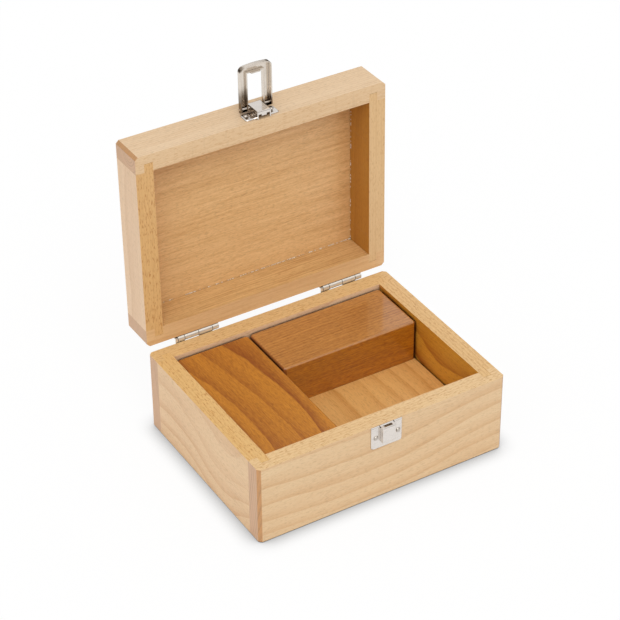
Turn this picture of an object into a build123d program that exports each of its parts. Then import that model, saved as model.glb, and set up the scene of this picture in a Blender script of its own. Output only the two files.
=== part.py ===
from build123d import *
import math
import os

# Wooden case for a set of weights: a beech base and lid, two hinges with stops,
# a nickel-plated hasp latch, and loose blocks that divide the inside.
# Millimetres, +Z up, front towards -Y. The origin is the middle of the underside.
# Every piece stands as it is stored: lid open on its hinge stops, hasp swung out.

# Case body
case_width = 180.0
case_depth = 140.0
base_height = 57.0
lid_height = 26.0
wall = 12.0
corner_cut = 2.0
edge_bevel = 0.6
tongue_thickness = 6.0
tongue_length = 6.0
rabbet_width = 6.0
bottom_thickness = 4.0
lid_panel_thickness = 2.5
glue_gap = 0.1
lid_seam = 0.2
lid_open_angle = 90.7

# Loose pieces inside
floor_thickness = 20.5
block_height = 30.0
left_block_width = 52.5
rear_block_depth = 45.0
block_gap = 1.5
loose_fit = 1.0
block_edge = 1.5

# Tacks: square shank, round head
tack_width = 1.0
tack_length = 8.0
tack_tip = 0.3
tack_fit = 0.04
tack_head_radius = 1.7
tack_head_height = 0.7
tack_head_slope = 35.0

# Hinges
hinge_from_side = 35.25
hinge_centre = 2.0
hinge_length = 30.0
hinge_metal = 0.8
leaf_height = 9.5
leaf_corner = 1.2
barrel_radius = 2.4
hinge_pin_radius = 1.1
running_gap = 0.06
knuckle_gap = 0.3
short_knuckle = 4.8
axis_behind = 2.5
axis_above = 1.6
leaf_tack_spacing = 20.0
leaf_tack_drop = 5.9
stop_width = 2.0
stop_gap = 0.15
stop_lean = 0.4
moving_gap = 0.3

# Latch
latch_offset = 1.0
plate_metal = 1.0
plate_bevel = 0.6
catch_width = 22.6
catch_height = 17.2
catch_below_rim = 0.2
catch_corner = 2.2
boss_width = 9.7
boss_height = 4.0
boss_length = 11.5
boss_below_rim = 0.7
boss_wall = 0.8
boss_slot_width = 6.0
boss_slot_depth = 2.0
relief_width = 0.5
relief_length = 1.6
catch_tack_spacing = 16.2
catch_tack_below_rim = 8.5
latch_plate_width = 24.0
latch_plate_from_rim = 2.0
latch_plate_height = 8.6
latch_plate_corner = 1.6
latch_tack_spacing = 18.3
latch_tack_from_rim = 8.0
hood_from_rim = 0.5
hood_height = 5.7
hood_beyond_pin = 2.0
hood_mouth_height = 3.4
hood_tongue_width = 3.6
hood_tongue_drop = 1.2
pin_from_rim = 11.6
pin_above_face = 3.8
hasp_pin_radius = 0.75
hasp_width = 22.6
hasp_metal = 0.8
hasp_depth = 3.65
hasp_corner = 3.4
hasp_crown = 1.0
hasp_leg_end = 2.3
window_width = 11.2
window_flange = 1.7
hook_width = 7.0
hook_depth = 3.2
hook_corner = 1.0
hasp_beyond_window = 5.9
hasp_swing = 90.0

inner_width = case_width - 2 * wall
inner_depth = case_depth - 2 * wall
closed_height = base_height + lid_seam + lid_height
axis_y = case_depth / 2 + axis_behind
axis_z = base_height + axis_above


def lay(home, at, x_dir=(1, 0, 0), z_dir=(0, 0, 1)):
    """The plane at a point of another plane, both directions given in that plane's own terms."""
    start = home.from_local_coords(Vector(0, 0, 0))
    x_way = home.from_local_coords(Vector(*x_dir)) - start
    z_way = home.from_local_coords(Vector(*z_dir)) - start
    return Plane(origin=home.from_local_coords(Vector(*at)), x_dir=x_way, z_dir=z_way)


# The hinge line, and the same line turned with the lid to where it stands open.
hinge_line = Plane(origin=(0, axis_y, axis_z), x_dir=(1, 0, 0), z_dir=(0, 0, 1))
lean = math.radians(lid_open_angle)
open_line = lay(hinge_line, (0, 0, 0), z_dir=(0, math.sin(lean), math.cos(lean)))

# The base is laid out from its underside and the lid from its upper face, both towards the rim.
base_seat = Plane.XY
lid_seat = lay(open_line, (0, -axis_y, closed_height - axis_z), z_dir=(0, 0, -1))
base_front, base_back = -1, 1
lid_front, lid_back = 1, -1

# Faces that carry metalwork: x along the case, y upwards when the lid is shut, z outwards.
base_face = Plane(
    origin=(latch_offset, -case_depth / 2, base_height), x_dir=(1, 0, 0), z_dir=(0, -1, 0)
)
lid_face = lay(
    open_line,
    (latch_offset, -case_depth / 2 - axis_y, base_height + lid_seam - axis_z),
    z_dir=(0, -1, 0),
)
base_back_face = lay(hinge_line, (0, -axis_behind, 0), x_dir=(-1, 0, 0), z_dir=(0, 1, 0))
lid_back_face = lay(open_line, (0, -axis_behind, 0), x_dir=(-1, 0, 0), z_dir=(0, 1, 0))

# The hasp's own plane: y from its pin to its free end, z towards the side that meets the case.
swing = math.radians(hasp_swing)
hasp_line = lay(
    lid_face,
    (0, pin_from_rim, pin_above_face),
    z_dir=(0, -math.sin(swing), -math.cos(swing)),
)

hinge_reach = case_width / 2 - hinge_from_side
hinge_centres = {"left": hinge_centre - hinge_reach, "right": hinge_centre + hinge_reach}
catch_tack_points = [(side * catch_tack_spacing / 2, -catch_tack_below_rim) for side in (-1, 1)]
latch_tack_points = [(side * latch_tack_spacing / 2, latch_tack_from_rim) for side in (-1, 1)]
tack_hole_radius = tack_width / math.sqrt(2) + tack_fit


def leaf_tack_points(rise):
    """Where the tacks go through one pair of leaves, seen from behind the case."""
    points = []
    for centre in hinge_centres.values():
        for side in (-1, 1):
            points.append((-centre + side * leaf_tack_spacing / 2, rise * leaf_tack_drop))
    return points


def outer_form(seat, height):
    """The outside of the glued-up base or lid, its corners cut off and its face bevelled all round."""
    with BuildPart() as form:
        with BuildSketch(seat):
            Rectangle(case_width, case_depth)
            chamfer(vertices(), corner_cut)
        extrude(amount=height)
        outer_face = form.faces().sort_by(Axis(seat.origin, seat.z_dir))[0]
        chamfer(outer_face.edges(), edge_bevel)
    return form.part


def panel_rabbet(seat, panel_thickness):
    """The space that a panel takes out of the boards round it."""
    with BuildPart() as space:
        with BuildSketch(seat):
            Rectangle(inner_width + 2 * rabbet_width, inner_depth + 2 * rabbet_width)
        extrude(amount=panel_thickness)
    return space.part


def long_board(seat, height, panel_thickness, side, tack_face, tack_points):
    """A front or back board: full width, with a groove near each end for a side board's tongue."""
    inner_y = side * (case_depth / 2 - wall)
    groove_x = inner_width / 2 + tongue_thickness / 2
    with BuildPart() as board:
        with BuildSketch(seat):
            with Locations((0, side * (case_depth - wall) / 2)):
                Rectangle(case_width, wall)
            with Locations((-groove_x, inner_y), (groove_x, inner_y)):
                Rectangle(tongue_thickness, 2 * tongue_length, mode=Mode.SUBTRACT)
        extrude(amount=height)
        add(outer_form(seat, height), mode=Mode.INTERSECT)
        add(panel_rabbet(seat, panel_thickness), mode=Mode.SUBTRACT)
        with BuildSketch(tack_face):
            with Locations(*tack_points):
                Rectangle(tack_width + 2 * tack_fit, tack_width + 2 * tack_fit)
        extrude(amount=-tack_length, mode=Mode.SUBTRACT)
    return board.part


def side_board(seat, height, panel_thickness, side):
    """A left or right board between the long ones, with a tongue at each end."""
    with BuildPart() as board:
        with BuildSketch(seat):
            with Locations((side * (case_width - wall) / 2, 0)):
                Rectangle(wall, inner_depth)
            with Locations((side * (inner_width + tongue_thickness) / 2, 0)):
                Rectangle(tongue_thickness, inner_depth + 2 * (tongue_length - glue_gap))
        extrude(amount=height)
        add(outer_form(seat, height), mode=Mode.INTERSECT)
        add(panel_rabbet(seat, panel_thickness), mode=Mode.SUBTRACT)
    return board.part


def thin_panel(seat, panel_thickness):
    """A panel let into the boards, flush with their outer edges."""
    spread = 2 * (rabbet_width - glue_gap)
    with BuildPart() as panel:
        with BuildSketch(seat):
            Rectangle(inner_width + spread, inner_depth + spread)
        extrude(amount=panel_thickness)
    return panel.part


def loose_board(x_range, y_range, low, height, edge):
    """A planed piece that stands loose inside the case, with its upper edges sanded round."""
    x_low, x_high = x_range
    y_low, y_high = y_range
    with BuildPart() as board:
        with BuildSketch(Plane.XY.offset(low)):
            with Locations(((x_low + x_high) / 2, (y_low + y_high) / 2)):
                Rectangle(x_high - x_low, y_high - y_low)
        extrude(amount=height)
        if edge > 0:
            chamfer(board.edges().filter_by(Axis.Z), edge)
            fillet(board.edges().group_by(Axis.Z)[-1], edge)
    return board.part


def tacks(face, points, seat_height):
    """Round-headed tacks driven through a plate into the wood."""
    with BuildPart() as group:
        with BuildSketch(face.offset(seat_height)):
            with Locations(*points):
                Rectangle(tack_width, tack_width)
        extrude(amount=-tack_length - seat_height + tack_fit)
        chamfer(group.edges().group_by(Axis(face.origin, face.z_dir))[0], tack_tip)
        with BuildSketch(face.offset(seat_height)):
            with Locations(*points):
                Circle(tack_head_radius)
        extrude(amount=tack_head_height, taper=tack_head_slope)
    return group.part


def hinge_leaf(line, centre, rise, knuckles, has_stop):
    """One leaf: a plate on the wood, its knuckles curled round the pin, and its share of the stop.

    rise is -1 for the base leaf and +1 for the lid leaf. Sections are drawn across the
    pin: their x is depth behind the pin and their y is height."""
    left_end = centre - hinge_length / 2
    clear = barrel_radius + moving_gap
    stop_top = axis_behind - hinge_metal - stop_gap
    stop_back = moving_gap - axis_behind
    stop_front = barrel_radius + moving_gap + hinge_metal
    across = dict(x_dir=(0, 1, 0), z_dir=(1, 0, 0))
    with BuildPart() as leaf:
        # The plate, from clear of the barrel to its far edge, one stop's width longer at the left.
        with BuildSketch(lay(line, (0, -axis_behind, 0), z_dir=(0, 1, 0), x_dir=(-1, 0, 0))):
            with Locations((-centre + stop_width / 2, rise * (clear + leaf_height) / 2)):
                Rectangle(hinge_length + stop_width, leaf_height - clear)
            far = vertices().group_by(Axis.Y)[0 if rise < 0 else -1]
            fillet(far, leaf_corner)
        extrude(amount=hinge_metal)
        # Each knuckle: an arm up from the plate and a ring round the pin.
        for start, length in knuckles:
            with BuildSketch(lay(line, (left_end + start, 0, 0), **across)):
                arm_back = axis_behind - (moving_gap if rise < 0 else 0)
                with Locations(((-arm_back - axis_behind + hinge_metal) / 2, rise * clear / 2)):
                    Rectangle(arm_back - axis_behind + hinge_metal, clear)
                Circle(barrel_radius)
                Circle(hinge_pin_radius + (running_gap if rise > 0 else 0), mode=Mode.SUBTRACT)
            extrude(amount=length)
        # The stop at the left end: a bracket on the base leaf, under a wing on the lid leaf. It
        # leans away from the wood, so that the lid's back clears its corner as the lid turns.
        if has_stop:
            with BuildSketch(lay(line, (left_end - stop_width, 0, 0), **across)):
                with BuildLine():
                    Polyline(
                        (stop_back, -clear - hinge_metal),
                        (stop_back, 0),
                        (stop_back + stop_lean, stop_top),
                        (stop_front, stop_top),
                        (stop_front, stop_top - hinge_metal),
                        (stop_back + hinge_metal, stop_top - hinge_metal),
                        (stop_back + hinge_metal, -clear - hinge_metal),
                        close=True,
                    )
                make_face()
            extrude(amount=stop_width - knuckle_gap)
        leaf_holes = lay(line, (0, -axis_behind, 0), x_dir=(-1, 0, 0), z_dir=(0, 1, 0))
        with BuildSketch(leaf_holes):
            for side in (-1, 1):
                with Locations((-centre + side * leaf_tack_spacing / 2, rise * leaf_tack_drop)):
                    Circle(tack_hole_radius)
        extrude(amount=hinge_metal, mode=Mode.SUBTRACT)
    return leaf.part


def hinge_pin(centre):
    """A plain wire pin as long as the barrel."""
    across = dict(x_dir=(0, 1, 0), z_dir=(1, 0, 0))
    with BuildPart() as pin:
        with BuildSketch(lay(hinge_line, (centre - hinge_length / 2, 0, 0), **across)):
            Circle(hinge_pin_radius)
        extrude(amount=hinge_length - knuckle_gap)
    return pin.part


pieces = {}

# Base boards, panels and the loose pieces inside
pieces["base_front_board"] = long_board(
    base_seat, base_height, bottom_thickness, base_front, base_face, catch_tack_points
)
pieces["base_back_board"] = long_board(
    base_seat, base_height, bottom_thickness, base_back, base_back_face, leaf_tack_points(-1)
)
pieces["base_left_board"] = side_board(base_seat, base_height, bottom_thickness, -1)
pieces["base_right_board"] = side_board(base_seat, base_height, bottom_thickness, 1)
pieces["bottom_panel"] = thin_panel(base_seat, bottom_thickness)

bay_x = inner_width / 2 - loose_fit
bay_y = inner_depth / 2 - loose_fit
floor_top = bottom_thickness + floor_thickness
left_block_end = -bay_x + left_block_width
pieces["floor_board"] = loose_board(
    (-bay_x, bay_x), (-bay_y, bay_y), bottom_thickness, floor_thickness, 0
)
pieces["left_block"] = loose_board(
    (-bay_x, left_block_end), (-bay_y, bay_y), floor_top, block_height, block_edge
)
pieces["rear_block"] = loose_board(
    (left_block_end + block_gap, bay_x),
    (bay_y - rear_block_depth, bay_y),
    floor_top,
    block_height,
    block_edge,
)

# Lid boards and panel
pieces["lid_front_board"] = long_board(
    lid_seat, lid_height, lid_panel_thickness, lid_front, lid_face, latch_tack_points
)
pieces["lid_back_board"] = long_board(
    lid_seat, lid_height, lid_panel_thickness, lid_back, lid_back_face, leaf_tack_points(1)
)
pieces["lid_left_board"] = side_board(lid_seat, lid_height, lid_panel_thickness, -1)
pieces["lid_right_board"] = side_board(lid_seat, lid_height, lid_panel_thickness, 1)
pieces["lid_panel"] = thin_panel(lid_seat, lid_panel_thickness)

# Hinges: four knuckles each, taken in turn by the base leaf and the lid leaf
long_knuckle = hinge_length / 2 - short_knuckle
knuckle_starts = [0, short_knuckle, hinge_length / 2, hinge_length - short_knuckle]
knuckle_lengths = [short_knuckle, long_knuckle, long_knuckle, short_knuckle]
knuckles = [(s, n - knuckle_gap) for s, n in zip(knuckle_starts, knuckle_lengths)]
for name, centre in hinge_centres.items():
    base_leaf = hinge_leaf(hinge_line, centre, -1, knuckles[0::2], True)
    lid_leaf = hinge_leaf(open_line, centre, 1, knuckles[1::2], False)
    pieces[name + "_hinge_base_leaf"] = base_leaf
    pieces[name + "_hinge_lid_leaf"] = lid_leaf
    pieces[name + "_hinge_pin"] = hinge_pin(centre)
pieces["base_hinge_tacks"] = tacks(base_back_face, leaf_tack_points(-1), hinge_metal)
pieces["lid_hinge_tacks"] = tacks(lid_back_face, leaf_tack_points(1), hinge_metal)

# Catch plate: pressed sheet with a hollow boss, slotted on top and open underneath
boss_y = -boss_below_rim - boss_length / 2
with BuildPart() as catch_plate:
    with BuildSketch(base_face):
        with Locations((0, -catch_below_rim - catch_height / 2)):
            Rectangle(catch_width, catch_height)
        fillet(vertices().group_by(Axis.Y)[0], catch_corner)
    extrude(amount=plate_metal)
    chamfer(catch_plate.faces().sort_by(Axis(base_face.origin, base_face.z_dir))[-1].edges(), plate_bevel)
    with BuildSketch(base_face):
        with Locations((0, boss_y)):
            Rectangle(boss_width, boss_length)
    extrude(amount=boss_height)
    fillet(catch_plate.faces().sort_by(Axis(base_face.origin, base_face.z_dir))[-1].edges(), 0.6)
    with BuildSketch(base_face):
        with Locations((0, boss_y - boss_wall)):
            Rectangle(boss_width - 2 * boss_wall, boss_length)
    extrude(amount=boss_height - boss_wall, mode=Mode.SUBTRACT)
    with BuildSketch(lay(base_face, (0, -boss_below_rim, 0), z_dir=(0, 1, 0))):
        with Locations((0, -(plate_metal + boss_height - boss_wall) / 2)):
            Rectangle(boss_slot_width, boss_slot_depth)
    extrude(amount=-2 * boss_wall, mode=Mode.SUBTRACT)
    # A short relief slit on each side of the boss, open at the plate's upper edge.
    with BuildSketch(base_face):
        for side in (-1, 1):
            with Locations((side * (boss_width + relief_width) / 2, -catch_below_rim)):
                Rectangle(relief_width, 2 * relief_length)
    extrude(amount=plate_metal, mode=Mode.SUBTRACT)
    with BuildSketch(base_face):
        with Locations(*catch_tack_points):
            Circle(tack_hole_radius)
    extrude(amount=plate_metal, mode=Mode.SUBTRACT)
pieces["catch_plate"] = catch_plate.part
pieces["catch_tacks"] = tacks(base_face, catch_tack_points, plate_metal)

# Latch plate: two ears with a tack each, and a raised hood that holds the hasp's pin
hood_end = pin_from_rim + hood_beyond_pin
hood_y = (hood_from_rim + hood_end) / 2
hood_length = hood_end - hood_from_rim
mouth = lay(lid_face, (0, hood_from_rim, 0), z_dir=(0, -1, 0))
lid_out = Axis(lid_face.origin, lid_face.z_dir)
with BuildPart() as latch_plate:
    with BuildSketch(lid_face):
        with Locations((0, latch_plate_from_rim + latch_plate_height / 2)):
            RectangleRounded(latch_plate_width, latch_plate_height, latch_plate_corner)
    extrude(amount=plate_metal)
    chamfer(latch_plate.faces().sort_by(lid_out)[-1].edges(), plate_bevel)
    with BuildSketch(lid_face):
        with Locations((0, hood_y)):
            Rectangle(boss_width, hood_length)
    extrude(amount=hood_height)
    fillet(latch_plate.faces().sort_by(lid_out)[-1].edges(), 0.6)
    with BuildSketch(lid_face):
        with Locations((0, hood_y)):
            Rectangle(boss_width - 2 * boss_wall, hood_length - 2 * boss_wall)
    extrude(amount=hood_height - boss_wall, mode=Mode.SUBTRACT)
    with BuildSketch(mouth):
        with Locations((0, hood_mouth_height / 2)):
            Rectangle(boss_width - 2 * boss_wall, hood_mouth_height)
        with Locations((0, hood_mouth_height - hood_tongue_drop / 2)):
            Rectangle(hood_tongue_width, hood_tongue_drop, mode=Mode.SUBTRACT)
    extrude(amount=-2 * boss_wall, mode=Mode.SUBTRACT)
    with BuildSketch(lay(lid_face, (0, pin_from_rim, pin_above_face), (0, 1, 0), (1, 0, 0))):
        Circle(hasp_pin_radius)
    extrude(amount=boss_width, both=True, mode=Mode.SUBTRACT)
    with BuildSketch(lid_face):
        with Locations(*latch_tack_points):
            Circle(tack_hole_radius)
    extrude(amount=plate_metal, mode=Mode.SUBTRACT)
pieces["latch_plate"] = latch_plate.part
pieces["latch_tacks"] = tacks(lid_face, latch_tack_points, plate_metal)

# Hasp: a pressed tray with turned-in edges and a window, on two legs that hang on the pin.
# The window's far edge has a hook that goes under the boss.
sheet_inside = -(hasp_pin_radius + running_gap)
sheet_top = sheet_inside - hasp_metal
pin_to_boss_end = pin_from_rim + lid_seam + boss_below_rim + boss_length
window_reach = pin_to_boss_end + moving_gap
hasp_reach = window_reach + hasp_beyond_window


def hasp_outline(inset):
    """The hasp seen flat, drawn in from its outer edge: a crowned free end and two legs."""
    half = hasp_width / 2 - inset
    end = hasp_reach - inset
    shoulder = end - hasp_crown
    low = -hasp_leg_end + inset
    with BuildSketch(Plane.XY) as shape:
        with BuildLine():
            Line((-half, low), (-half, shoulder))
            ThreePointArc((-half, shoulder), (0, end), (half, shoulder))
            Line((half, shoulder), (half, low))
            Line((half, low), (-half, low))
        make_face()
        fillet(shape.vertices().group_by(Axis.Y)[-1], hasp_corner - inset)
    return shape.sketch


across_hasp = dict(x_dir=(0, 1, 0), z_dir=(1, 0, 0))
with BuildPart() as hasp_frame:
    with BuildSketch(hasp_line.offset(sheet_top)):
        add(hasp_outline(0))
    extrude(amount=hasp_depth)
    hasp_out = Axis(hasp_line.origin, hasp_line.z_dir)
    fillet(hasp_frame.faces().sort_by(hasp_out)[0].edges(), hasp_metal)
    with BuildSketch(hasp_line.offset(sheet_inside)):
        add(hasp_outline(hasp_metal))
    extrude(amount=hasp_depth, mode=Mode.SUBTRACT)
    with BuildSketch(hasp_line.offset(sheet_inside)):
        with Locations((0, (window_reach + hasp_metal - 2 * hasp_leg_end) / 2)):
            flange_length = window_reach + hasp_metal + 2 * hasp_leg_end
            Rectangle(window_width + 2 * hasp_metal, flange_length)
    extrude(amount=window_flange)
    with BuildSketch(lay(hasp_line, (0, window_reach, sheet_inside), z_dir=(0, 1, 0))):
        with Locations((0, -hook_depth / 2)):
            Rectangle(hook_width, hook_depth)
        fillet(vertices().group_by(Axis.Y)[0], hook_corner)
    extrude(amount=hasp_metal)
    with BuildSketch(hasp_line.offset(sheet_top)):
        with Locations((0, (window_reach - 2 * hasp_leg_end) / 2)):
            Rectangle(window_width, window_reach + 2 * hasp_leg_end)
    extrude(amount=hasp_depth, mode=Mode.SUBTRACT)
    # Rounding the leg ends about the pin lets them turn over the plate.
    with BuildSketch(lay(hasp_line, (0, 0, 0), **across_hasp)):
        Circle(hasp_leg_end)
        with Locations((hasp_reach / 2 + hasp_leg_end / 2, 0)):
            Rectangle(hasp_reach + hasp_leg_end, 4 * hasp_depth)
    extrude(amount=hasp_width, both=True, mode=Mode.INTERSECT)
    with BuildSketch(lay(hasp_line, (0, 0, 0), **across_hasp)):
        Circle(hasp_pin_radius + running_gap)
    extrude(amount=hasp_width, both=True, mode=Mode.SUBTRACT)
pieces["hasp_frame"] = hasp_frame.part

with BuildPart() as hasp_pin:
    with BuildSketch(lay(lid_face, (0, pin_from_rim, pin_above_face), (0, 1, 0), (1, 0, 0))):
        Circle(hasp_pin_radius)
    extrude(amount=hasp_width / 2, both=True)
    chamfer(hasp_pin.edges().filter_by(GeomType.CIRCLE), 0.2)
pieces["hasp_pin"] = hasp_pin.part

os.makedirs("parts", exist_ok=True)
for name, piece in pieces.items():
    piece.label = name
    export_step(piece, "parts/" + name + ".step")
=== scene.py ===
import math
import random

import bpy
from mathutils import Euler, Matrix, Vector


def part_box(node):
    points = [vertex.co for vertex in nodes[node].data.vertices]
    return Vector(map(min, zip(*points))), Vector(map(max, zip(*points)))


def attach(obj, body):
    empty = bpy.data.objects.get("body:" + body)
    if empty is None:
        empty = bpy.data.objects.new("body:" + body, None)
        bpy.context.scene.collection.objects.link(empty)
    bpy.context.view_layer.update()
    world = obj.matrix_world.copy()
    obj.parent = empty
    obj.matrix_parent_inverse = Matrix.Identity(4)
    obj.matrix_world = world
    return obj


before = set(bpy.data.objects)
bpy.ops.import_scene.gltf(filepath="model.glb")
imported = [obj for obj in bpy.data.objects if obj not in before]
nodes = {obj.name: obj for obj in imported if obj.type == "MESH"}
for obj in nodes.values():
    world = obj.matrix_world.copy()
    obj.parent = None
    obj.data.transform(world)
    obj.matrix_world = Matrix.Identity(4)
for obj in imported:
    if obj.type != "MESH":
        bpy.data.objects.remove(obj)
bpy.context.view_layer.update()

# Camera
# It stands where the photographer stood: in front of the case, to its left and
# well above it, far enough away for the case's edges to run nearly parallel.
camera_target = Vector((0.02515, 0.06034, 0.054))
camera_distance = 1.460178
azimuth, elevation, roll = (math.radians(a) for a in (-30.942, 35.2384, -0.4410))
backward = Vector(
    (
        math.sin(azimuth) * math.cos(elevation),
        -math.cos(azimuth) * math.cos(elevation),
        math.sin(elevation),
    )
)
level = Vector((math.cos(azimuth), math.sin(azimuth), 0.0))
upward = backward.cross(level)
sideways = math.cos(roll) * level + math.sin(roll) * upward
upright = backward.cross(sideways)
lens = bpy.data.cameras.new("camera")
lens.sensor_width = 36.0
lens.lens = 128.43
lens.clip_start = 0.1
lens.clip_end = 20.0
camera = bpy.data.objects.new("camera", lens)
bpy.context.scene.collection.objects.link(camera)
camera.matrix_world = Matrix.Translation(camera_target + camera_distance * backward) @ (
    Matrix((sideways, upright, backward)).transposed().to_4x4()
)
bpy.context.scene.camera = camera

bpy.context.scene.view_settings.view_transform = "Standard"


# Floor and light
# A seamless white sheet under a large soft light from above and behind the
# camera's right, with white all round. The sheet keeps a little of its lit shadow, and
# its soft contact shadow is painted: the sheet is made less bright where little open
# room lies round it.
class Shade:
    """An output in a node tree, so that shading is written as sums."""

    def __init__(self, tree, socket=None):
        self.tree = tree
        self.socket = socket

    @classmethod
    def begin(cls, owner):
        """Empties the node tree of a new material or world, and starts there."""
        owner.use_nodes = True
        owner.node_tree.nodes.clear()
        return cls(owner.node_tree)

    def add(self, kind, settings, inputs, output=0):
        """Adds a node: its settings first, then its sockets by name or number."""
        node = self.tree.nodes.new("ShaderNode" + kind)
        for key, value in settings.items():
            setattr(node, key, value)
        for key, value in inputs.items():
            if isinstance(value, Shade):
                self.tree.links.new(value.socket, node.inputs[key])
            else:
                node.inputs[key].default_value = value
        return Shade(self.tree, node.outputs[output] if node.outputs else None)

    def math(self, operation, *values):
        return self.add("Math", {"operation": operation}, dict(enumerate(values)))

    def __add__(self, other):
        return self.math("ADD", self, other)

    def __sub__(self, other):
        return self.math("SUBTRACT", self, other)

    def __mul__(self, other):
        return self.math("MULTIPLY", self, other)

    def __truediv__(self, other):
        return self.math("DIVIDE", self, other)

    def __pow__(self, other):
        return self.math("POWER", self, other)

    def __rsub__(self, other):
        return self.math("SUBTRACT", other, self)

    __radd__ = __add__
    __rmul__ = __mul__

    def between(self, low, high):
        """0 below low and 1 above high, with a smooth step from one to the other."""
        ends = {"Value": self, "From Min": low, "From Max": high}
        return self.add("MapRange", {"interpolation_type": "SMOOTHSTEP"}, ends)

    def mix(self, first, second):
        """The first colour where this is 0 and the second where it is 1."""
        # A mix has sockets for numbers, vectors and colours: 6, 7 and 2 are colours.
        return self.add("Mix", {"data_type": "RGBA"}, {0: self, 6: first, 7: second}, 2)

    def axis(self, name):
        """The x, y or z of a place."""
        return self.add("SeparateXYZ", {}, {"Vector": self}, name)

    def compare(self, operation, other):
        """A number from two vectors, such as their distance or their dot product."""
        return self.add("VectorMath", {"operation": operation}, {0: self, 1: other}, "Value")

    def noise(self, scale, detail=2.0, roughness=0.5):
        """Noise at these cycles for each unit of the coordinates along x, y and z."""
        place = self.add("Mapping", {}, {"Vector": self, "Scale": scale})
        sizes = {"Vector": place, "Scale": 1.0, "Detail": detail, "Roughness": roughness}
        return self.add("TexNoise", {}, sizes)

    def openness(self, reach, samples):
        """1 in the open and 0 deep in a gap, from the room within reach, in metres."""
        return self.add("AmbientOcclusion", {"samples": samples}, {"Distance": reach}, "AO")


def tint(red, green, blue):
    """A colour as it is seen on a screen, from 0 to 255, in the numbers that light adds up in."""
    parts = []
    for part in (red / 255.0, green / 255.0, blue / 255.0):
        parts.append(part / 12.92 if part <= 0.04045 else ((part + 0.055) / 1.055) ** 2.4)
    return (*parts, 1.0)


floor_size = 6.0
shadow_reach = 0.014
shadow_depth = 1.4
shadow_fade = 1.5
bpy.ops.object.select_all(action="DESELECT")
bpy.ops.mesh.primitive_plane_add(size=floor_size, location=(0, 0, 0))
floor = bpy.context.object
floor.name = "floor"
bpy.ops.object.transform_apply()
sheet = bpy.data.materials.new("white_sheet")
paper = Shade.begin(sheet)
lit = paper.add("BsdfDiffuse", {}, {"Color": (0.96, 0.96, 0.96, 1.0)})
# Painted contact shadow: the sheet is made less bright near the case, where little open room lies
# round it.
open_sky = paper.openness(shadow_reach, 16)
shade = 1.0 - shadow_depth * (1.0 - open_sky) ** shadow_fade
glow_with_painted_shadow = paper.add("Emission", {}, {"Color": (1, 1, 1, 1), "Strength": shade})
seen = paper.add("LightPath", {}, {}, "Is Camera Ray")
mirrored = paper.add("LightPath", {}, {}, "Is Glossy Ray")
# The plated parts mirror the sheet near the case, and a dim room beyond it.
near, beyond = 0.45, 0.9
away = paper.add("TexCoord", {}, {}, "Object").compare("DISTANCE", (0.0, 0.0, 0.0))
dim = paper.add("Emission", {}, {"Color": (0.12, 0.10, 0.08, 1), "Strength": 1.0})
far = mirrored * away.between(near, beyond)
shown = paper.add("MixShader", {}, {0: far, 1: glow_with_painted_shadow, 2: dim})
sheet_glow = 0.9
lift = seen.math("MAXIMUM", seen, mirrored) * sheet_glow
surface = paper.add("MixShader", {}, {0: lift, 1: lit, 2: shown})
paper.add("OutputMaterial", {}, {"Surface": surface})
floor.data.materials.append(sheet)

room_light = 0.74
room = bpy.data.worlds.new("room")
air = Shade.begin(room)
around = air.add("Background", {}, {"Color": (1.0, 1.0, 1.0, 1.0), "Strength": room_light})
white = air.add("Background", {}, {"Color": (1.0, 1.0, 1.0, 1.0), "Strength": 1.0})
height = air.add("TexCoord", {}, {}, "Generated").axis("Z")
walls = height.between(0.15, 0.5).mix((0.10, 0.08, 0.06, 1), (0.95, 0.95, 0.95, 1))
mirror = air.add("Background", {}, {"Color": walls, "Strength": 1.0})
direct = air.add("LightPath", {}, {}, "Is Camera Ray")
glossy = air.add("LightPath", {}, {}, "Is Glossy Ray")
backdrop = air.add("MixShader", {}, {0: glossy, 1: around, 2: mirror})
backdrop = air.add("MixShader", {}, {0: direct, 1: backdrop, 2: white})
air.add("OutputWorld", {}, {"Surface": backdrop})
bpy.context.scene.world = room

# Each lamp has its strength, its spread in degrees and the way its light goes.
for name, strength, spread, direction in (
    ("key", 0.95, 40.0, (0.25, 0.75, -1.0)),
    ("fill", 0.35, 60.0, (0.9, 0.5, -0.7)),
):
    lamp = bpy.data.lights.new(name, "SUN")
    lamp.energy = strength
    lamp.angle = math.radians(spread)
    sun = bpy.data.objects.new(name, lamp)
    bpy.context.scene.collection.objects.link(sun)
    sun.rotation_mode = "QUATERNION"
    sun.rotation_quaternion = Vector(direction).to_track_quat("-Z", "Y")


# Base boards
# Four boards of pale beech, planed, glued at the corners with a tongue and a
# groove, sanded round outside and varnished satin. Each has its own place in the log.
def toned(colour, *shares):
    """A colour with its red, green and blue brought down to these shares."""
    return (*(part * share for part, share in zip(colour, shares)), 1.0)


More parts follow.
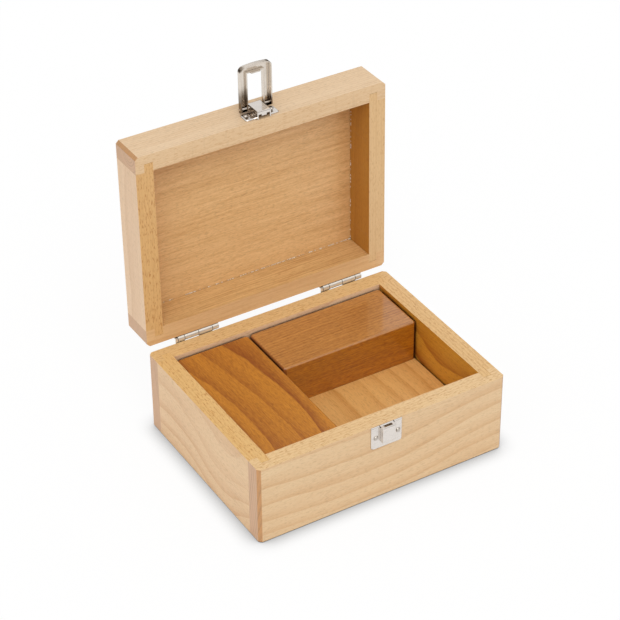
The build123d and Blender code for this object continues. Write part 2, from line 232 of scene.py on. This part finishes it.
def beech(
    name,
    pith,
    turn,
    pale,
    deep,
    ring=2.0,
    wander=1.2,
    bow=(0.0, 0.0, 50.0),
    figure=1.0,
    streaky=0.5,
    ripples=0.2,
    flecks=0.25,
    ray=0.10,
    painted_shade_band=None,
    coat=0.2,
    polish=0.25,
    rim=None,
    rim_flecks=0.7,
    inner_shade=None,
    end=tint(206, 164, 128),
    corner=tint(199, 144, 90),
):
    """Varnished beech: growth rings round a far pith line, fine pores and rays.

    The log's x runs along the grain and its y from the pith towards the board.
    pith: a point on the pith line, in metres
    turn: the log's rotation, in degrees
    pale, deep: the wood's lightest and darkest colour
    ring: the width of a year's growth, in millimetres
    wander: how far the rings stray from a round
    bow: a shift of the rings across the board, round one place: where it is along the
        grain, how far it goes and over what length, in millimetres
    figure, streaky, ripples, flecks, ray: how much the rings, the streaks along the
        grain, the short ripples, the brown flecks and the rays show
    heart: painted shade: where along the piece's x it starts to deepen the wood and where
        it is deepest, in metres, and by how much
    coat, polish: how much of the varnish's gloss there is, and how rough it is
    rim, inner: a direction, and a pale and a deep colour for the faces that look that way,
    partly painted light on the rim, and painted light and shade on faces inside the case
    rim_flecks: how much the brown flecks show on the rim
    end, corner: the colour of the end grain, and of the cuts across the corners"""
    finish = bpy.data.materials.new(name)
    wood = Shade.begin(finish)
    place = wood.add("TexCoord", {}, {}, "Object")
    lean = Euler([math.radians(t) for t in turn])
    millimetres = (0.001, 0.001, 0.001)
    lie = {"Vector": place, "Location": pith, "Rotation": lean, "Scale": millimetres}
    log = wood.add("Mapping", {"vector_type": "TEXTURE"}, lie)
    lengthwise, outward, across = (log.axis(letter) for letter in "XYZ")
    # Rings: a year is pale at first and deepens to a line, where the next begins.
    bow_place, bow_shift, bow_length = bow
    reach = (lengthwise - bow_place) / bow_length
    bent = across - bow_shift * reach.math("EXPONENT", 0.0 - reach * reach)
    drift = log.noise((0.008, 0.022, 0.022), 2.0, 0.4)
    ripple = log.noise((0.03, 0.16, 0.16), 2.0, 0.5)
    radius = (outward * outward + bent * bent) ** 0.5
    radius = radius + (drift - 0.5) * (3.0 * wander) + (ripple - 0.5) * (0.25 * wander)
    years = radius / ring
    year = years.math("FLOOR", years)
    age = years - year
    weight = wood.add("TexWhiteNoise", {"noise_dimensions": "1D"}, {"W": year})
    late = age**2.5 * (1.0 - age.between(0.94, 1.0))
    band = late * (0.35 + 0.65 * weight)
    # Between the rings: streaks along the grain and slow changes of colour.
    streak = log.noise((0.012, 0.45, 0.45), 3.0, 0.6)
    thread = log.noise((0.05, 1.2, 1.2), 2.0, 0.5)
    short = log.noise((0.28, 1.5, 1.5), 0.0)
    broad = log.noise((0.010, 0.05, 0.05), 1.0)
    tone = 0.36 + figure * (band - 0.17) + (streak - 0.5) * streaky
    tone = tone + (thread - 0.5) * (0.8 * streaky) + (short - 0.5) * ripples
    tone = tone + (broad - 0.5) * 0.4
    # Painted shade: a deeper band along the piece's x, where a nearby board shades it.
    if painted_shade_band:
        shade_band_start, shade_band_full, shade_band_tone = painted_shade_band
        tone = tone + shade_band_tone * place.axis("X").between(shade_band_start, shade_band_full)
    depth = tone.between(-0.25, 1.25)
    brown = toned(deep, 0.55, 0.55, 0.55)
    specks = log.noise((0.33, 1.9, 1.9), 1.0, 0.4).between(0.57, 0.68)
    colour = (specks * flecks).mix(depth.mix(pale, deep), brown)
    # Rims have colours of their own, partly the wood's and partly painted light. Faces
    # inside the case get painted light and shade: colours set to how bright each looks
    # there. Which way a face looks is told by the piece's own axes, so that it keeps its
    # colour when the piece turns.
    facing = wood.add("NewGeometry", {}, {}, "True Normal")
    own = {"vector_type": "NORMAL", "convert_from": "WORLD", "convert_to": "OBJECT"}
    facing = wood.add("VectorTransform", own, {"Vector": facing})
    for face, contrast, strength in ((inner_shade, 1.2, 0.35), (rim, 0.55, rim_flecks)):
        if face:
            direction, face_pale, face_deep = face
            ahead = facing.compare("DOT_PRODUCT", direction)
            plain = (0.5 + (depth - 0.5) * contrast).mix(face_pale, face_deep)
            rust = toned(face_deep, 0.78, 0.62, 0.40)
            flecked = (specks * strength).mix(plain, rust)
            colour = ahead.between(0.6, 0.9).mix(colour, flecked)
    # Rays stand out from the pith: slits on the wide face, flakes on the narrow one.
    spin = wood.add("CombineXYZ", {}, {0: lengthwise, 1: across, 2: radius})
    rays = spin.noise((0.5, 2.6, 0.12), 1.0, 0.5).between(0.60, 0.74)
    colour = (rays * ray).mix(colour, brown)
    pore = log.noise((0.45, 4.0, 4.0), 1.0, 0.5).between(0.50, 0.75)
    colour = (pore * 0.15).mix(colour, brown)
    # Cuts across the corners show both kinds of grain, and the ends show the rings.
    grain = lean.to_matrix() @ Vector((1, 0, 0))
    cut = facing.compare("DOT_PRODUCT", grain)
    cut = cut.math("ABSOLUTE", cut)
    colour = cut.between(0.35, 0.6).mix(colour, depth.mix(corner, brown))
    endwise = (band * 0.8 + pore * 0.3).mix(end, brown)
    colour = cut.between(0.75, 0.95).mix(colour, endwise)
    # Painted shade: gaps and inside corners are darkened by how little open room lies round them.
    gap_reach = 0.003
    gap = wood.openness(gap_reach, 8)
    colour = gap.between(0.15, 0.60).mix(tint(70, 30, 8), colour)
    pore_depth = 0.0001
    pitted = {"Strength": 0.3, "Distance": pore_depth, "Height": 1.0 - pore}
    values = {
        "Base Color": colour,
        "Roughness": 0.45 + 0.12 * streak + 0.1 * pore,
        "Normal": wood.add("Bump", {}, pitted),
        "Coat Weight": coat,
        "Coat Roughness": polish,
    }
    shell = wood.add("BsdfPrincipled", {}, values)
    wood.add("OutputMaterial", {}, {"Surface": shell})
    return finish


def dress(node, finish):
    """Gives a CAD node its finish."""
    nodes[node].data.materials.clear()
    nodes[node].data.materials.append(finish)


up = (0.0, 0.0, 1.0)
down = (0.0, 0.0, -1.0)
forward = (0.0, -1.0, 0.0)
rearward = (0.0, 1.0, 0.0)
leftward = (-1.0, 0.0, 0.0)
rightward = (1.0, 0.0, 0.0)
# Painted shade: faces inside the case get these deeper, more orange colours.
shaded_golden = (tint(220, 160, 80), tint(184, 112, 30))
dress(
    "base_front_board",
    beech(
        "beech_front",
        pith=(0.0, 0.33, 0.105),
        turn=(180, 0, 0.4),
        pale=tint(222, 192, 150),
        deep=tint(201, 155, 106),
        ring=2.2,
        wander=1.0,
        bow=(0.0, 6.0, 60.0),
        rim=(up, tint(240, 210, 161), tint(211, 167, 112)),
        inner_shade=(rearward, *shaded_golden),
    ),
)
dress(
    "base_left_board",
    beech(
        "beech_left",
        pith=(0.31, 0.0, 0.090),
        turn=(0, 0, 90.5),
        pale=tint(228, 195, 151),
        deep=tint(205, 157, 109),
        ring=2.2,
        bow=(-24.0, -22.0, 35.0),
        rim=(up, tint(236, 201, 139), tint(208, 154, 85)),
        inner_shade=(rightward, *shaded_golden),
    ),
)
dress(
    "base_right_board",
    beech(
        "beech_right",
        pith=(-0.31, 0.0, 0.100),
        turn=(180, 0, 90),
        pale=tint(229, 199, 158),
        deep=tint(206, 160, 114),
        ring=2.4,
        wander=1.6,
        bow=(-20.0, 14.0, 40.0),
        figure=1.3,
        rim=(up, tint(235, 200, 142), tint(207, 158, 98)),
        inner_shade=(leftward, tint(220, 160, 50), tint(164, 92, 8)),
    ),
)
dress(
    "base_back_board",
    beech(
        "beech_back",
        pith=(0.0, -0.33, 0.09),
        turn=(0, 0, -0.4),
        pale=tint(228, 196, 152),
        deep=tint(206, 158, 108),
        rim=(up, tint(237, 202, 145), tint(208, 161, 99)),
        inner_shade=(forward, tint(238, 202, 162), tint(212, 162, 120)),
    ),
)

# Bottom panel and floor board
# The bottom panel is let into the boards from below and the floor board lies
# loose on it. Both are planed beech, the floor board a little browner.
dress(
    "bottom_panel",
    beech(
        "beech_bottom",
        pith=(0.0, 0.05, -0.4),
        turn=(90, 0, 0),
        pale=tint(222, 184, 138),
        deep=tint(198, 150, 104),
    ),
)
dress(
    "floor_board",
    beech(
        "beech_floor",
        pith=(-0.06, 0.0, -0.38),
        turn=(90, 0, 90.5),
        pale=tint(233, 181, 108),
        deep=tint(194, 130, 54),
        ring=3.4,
        wander=2.0,
    ),
)

# Loose blocks
# Two blocks of browner, steamed beech stand on the floor board with a little
# room round them. They are planed, sanded round at the top and varnished.
block_cuts = {"end": tint(150, 92, 44), "corner": tint(170, 100, 40)}
dress(
    "left_block",
    beech(
        "brown_beech_left",
        pith=(0.03, 0.0, -0.35),
        turn=(90, 0, 91.0),
        pale=tint(202, 132, 37),
        deep=tint(137, 66, 0),
        ring=3.6,
        wander=2.2,
        bow=(-4.0, 6.0, 42.0),
        ripples=0.6,
        coat=0.4,
        **block_cuts,
    ),
)
dress(
    "rear_block",
    beech(
        "brown_beech_rear",
        pith=(0.0, 0.44, 0.05),
        turn=(180, 0, 0.2),
        pale=tint(206, 144, 69),
        deep=tint(134, 68, 7),
        ring=2.6,
        wander=0.8,
        figure=0.45,
        streaky=0.7,
        ripples=0.5,
        flecks=0.3,
        coat=1.0,
        polish=0.12,
        inner_shade=(forward, tint(197, 124, 12), tint(120, 55, 0)),
        **block_cuts,
    ),
)

# Lid boards
# The lid's frame is the same beech as the base, in narrower boards with plainer
# grain. With the lid open, the rim faces forwards and the front board lies on top.
dress(
    "lid_front_board",
    beech(
        "beech_lid_front",
        pith=(0.0, 0.082, 0.200),
        turn=(90, 0, 0.2),
        pale=tint(235, 207, 171),
        deep=tint(210, 170, 124),
        wander=0.4,
        figure=0.6,
        rim_flecks=0.35,
        rim=(forward, tint(230, 202, 163), tint(202, 159, 108)),
        inner_shade=(down, *shaded_golden),
    ),
)
dress(
    "lid_back_board",
    beech(
        "beech_lid_back",
        pith=(0.0, 0.49, 0.03),
        turn=(180, 0, 0.2),
        pale=tint(230, 202, 164),
        deep=tint(206, 166, 120),
        wander=0.4,
        figure=0.6,
        streaky=1.8,
        rim_flecks=0.15,
        rim=(forward, tint(228, 190, 140), tint(200, 150, 96)),
        inner_shade=(up, tint(222, 182, 124), tint(188, 139, 81)),
    ),
)
dress(
    "lid_left_board",
    beech(
        "beech_lid_left",
        pith=(0.31, 0.05, 0.12),
        turn=(0, -90, 0),
        pale=tint(232, 200, 164),
        deep=tint(208, 168, 128),
        wander=0.7,
        figure=0.6,
        rim=(forward, tint(226, 186, 127), tint(194, 140, 75)),
        inner_shade=(rightward, *shaded_golden),
    ),
)
dress(
    "lid_right_board",
    beech(
        "beech_lid_right",
        pith=(-0.31, 0.05, 0.12),
        turn=(0, -90, 0),
        pale=tint(230, 200, 166),
        deep=tint(206, 168, 130),
        wander=0.7,
        figure=0.6,
        rim_flecks=0.35,
        rim=(forward, tint(228, 194, 143), tint(198, 153, 98)),
        inner_shade=(leftward, tint(187, 131, 44), tint(153, 91, 16)),
    ),
)

# Lid panel
# A thin beech panel let into the lid's boards from outside and glued there. It
# has faint streaks and short rays all over, and painted shade: a deeper band towards
# its right end, where the right board shades it.
dress(
    "lid_panel",
    beech(
        "beech_lid_panel",
        pith=(0.0, 0.50, 0.20),
        turn=(180, 0, 0.3),
        pale=tint(232, 190, 134),
        deep=tint(196, 144, 83),
        ring=4.0,
        wander=1.6,
        figure=0.1,
        streaky=1.2,
        ripples=0.55,
        ray=0.3,
        # Painted shade where the right board shades the panel.
        painted_shade_band=(0.066, 0.072, 0.14),
    ),
)

# Dried glue
# Beads of white glue, pressed out where the panel meets the boards at the
# bottom and at the right, and left to dry in the corner.
bead_radius = 0.0004
bottom_beads = 120
right_beads = 50
bottom_start, bottom_end = -0.074, 0.0775
panel_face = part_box("lid_panel")[0][1]
board_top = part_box("lid_back_board")[1][2]
board_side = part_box("lid_right_board")[0][0]
board_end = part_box("lid_front_board")[0][2]
bpy.ops.object.select_all(action="DESELECT")
bpy.ops.mesh.primitive_ico_sphere_add(subdivisions=2, radius=bead_radius)
bead = bpy.context.object
bpy.ops.object.mode_set(mode="EDIT")
bpy.ops.mesh.select_all(action="SELECT")
bpy.ops.transform.vertex_random(offset=0.3 * bead_radius, seed=3)
bpy.ops.transform.resize(value=(1.5, 0.9, 0.8))
bpy.ops.object.mode_set(mode="OBJECT")
chance = random.Random(11)
beads = []
for number in range(bottom_beads + right_beads):
    if number < bottom_beads:
        spot = (chance.uniform(bottom_start, bottom_end), panel_face, board_top)
        upended = 0
    else:
        spot = (board_side, panel_face, chance.uniform(board_top, board_end))
        upended = math.pi / 2
    drop = bead.copy()
    drop.data = bead.data.copy()
    bpy.context.scene.collection.objects.link(drop)
    size = chance.uniform(0.5, 1.2)
    lie = Euler((chance.uniform(0, 3), upended, 0)).to_matrix()
    drop.matrix_world = Matrix.Translation(spot) @ (size * lie).to_4x4()
    beads.append(drop)
bpy.ops.object.select_all(action="DESELECT")
for drop in beads + [bead]:
    drop.select_set(True)
bead.matrix_world = Matrix.Translation((board_side, panel_face, board_top))
bpy.context.view_layer.objects.active = bead
bpy.ops.object.join()
bpy.ops.object.transform_apply(location=True, rotation=True, scale=True)
bpy.ops.object.shade_smooth()
glue = bpy.context.object
glue.name = "glue_beads"
dried = bpy.data.materials.new("dried_glue")
film = Shade.begin(dried)
grit = film.add("TexCoord", {}, {}, "Object").noise((1500.0, 1500.0, 1500.0), 2.0)
white_glue = grit.between(0.3, 0.7).mix(tint(214, 196, 168), tint(240, 232, 218))
pane = film.add("BsdfPrincipled", {}, {"Base Color": white_glue, "Roughness": 0.35 + 0.2 * grit})
film.add("OutputMaterial", {}, {"Surface": pane})
glue.data.materials.clear()
glue.data.materials.append(dried)
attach(glue, "lid")


# Hinges
# Two stop hinges of pressed and nickel-plated steel, tacked to the back of the
# base and of the lid, with a wire pin through their knuckles.
def nickel(name, colour, rough, metallic=1.0, crease_shade=(0.35, 0.85), dark_reflections=()):
    """Bright nickel plate over pressed steel, with painted shade in brown in its corners and
    creases.

    crease says how much open room round a spot leaves it in full painted shade, and how
    much leaves it clean. tarnish lists the places, in metres, where dark reflections are
    painted on in brown, and how far each goes."""
    finish = bpy.data.materials.new(name)
    metal = Shade.begin(finish)
    place = metal.add("TexCoord", {}, {}, "Object")
    smear = place.noise((300.0, 300.0, 300.0), 3.0, 0.6)
    wave = place.noise((140.0, 140.0, 140.0), 1.0)
    mark = place.noise((900.0, 900.0, 900.0), 3.0, 0.7).between(0.62, 0.8)
    shade = (smear.between(0.45, 0.8) * 0.4).mix(colour, toned(colour, 0.8, 0.8, 0.8))
    umber = tint(96, 78, 56)
    ragged = 0.006
    # Painted reflections: brown spots, fading at their edges, where the metal would mirror dark
    # things.
    for spot, extent in dark_reflections:
        far = place.compare("DISTANCE", spot) + (smear - 0.5) * ragged
        reflection_dark = 1.0 - far.between(0.4 * extent, extent)
        shade = (0.85 * reflection_dark).mix(shade, umber)
    # Painted shade: corners, creases and sides close to the wood are browned where little open
    # room lies round them.
    crease_reach = 0.0012
    free = metal.openness(crease_reach, 8)
    shade = free.between(*crease_shade).mix(umber, shade)
    # Pressing leaves rounded edges and shallow dents.
    edge_radius = 0.0003
    dent_depth = 0.0002
    rounded = metal.add("Bevel", {"samples": 4}, {"Radius": edge_radius}, "Normal")
    press = {"Strength": 0.1, "Distance": dent_depth, "Height": wave, "Normal": rounded}
    values = {
        "Base Color": shade,
        "Metallic": metallic,
        "Normal": metal.add("Bump", {}, press),
        "Roughness": rough + 0.08 * smear + 0.1 * mark,
    }
    shell = metal.add("BsdfPrincipled", {}, values)
    metal.add("OutputMaterial", {}, {"Surface": shell})
    return finish


hinge_nickel = nickel("nickel_hinges", tint(236, 229, 218), 0.26, metallic=0.7, crease_shade=(0.5, 0.9))
for hand in ("left", "right"):
    for part in ("hinge_base_leaf", "hinge_lid_leaf", "hinge_pin"):
        dress(hand + "_" + part, hinge_nickel)
dress("base_hinge_tacks", hinge_nickel)
dress("lid_hinge_tacks", hinge_nickel)

# Catch plate
# Pressed steel, bright nickel-plated, with a hollow boss for the hasp to close
# over. Two round-headed tacks hold it to the base's front.
latch_nickel = nickel("nickel_latch", tint(225, 218, 211), 0.14, crease_shade=(0.2, 0.65))
tack_nickel = nickel("nickel_tacks", tint(200, 192, 182), 0.34, crease_shade=(0.4, 0.95))
dress("catch_plate", latch_nickel)
dress("catch_tacks", tack_nickel)

# Latch plate and hasp
# The plate is pressed like the catch plate and tacked to the lid's front, and its
# raised hood holds the wire pin on which the hasp swings. The hasp carries painted dark
# reflections in brown at its foot, most of all at the left, and a little at its top corners.
dress("latch_plate", latch_nickel)
dress("hasp_pin", latch_nickel)
dress("latch_tacks", tack_nickel)
hasp_low, hasp_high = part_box("hasp_frame")
leg_depth = (hasp_low[1] + hasp_high[1]) / 2
reflection_spots = (
    ((hasp_low[0] + 0.001, leg_depth, hasp_low[2] + 0.003), 0.017),
    ((hasp_high[0] - 0.001, leg_depth, hasp_low[2] + 0.001), 0.008),
    ((hasp_high[0], leg_depth, hasp_high[2]), 0.004),
    ((hasp_low[0], leg_depth, hasp_high[2]), 0.004),
)
hasp_nickel = nickel("nickel_hasp", tint(222, 212, 200), 0.14, crease_shade=(0.2, 0.7), dark_reflections=reflection_spots)
dress("hasp_frame", hasp_nickel)
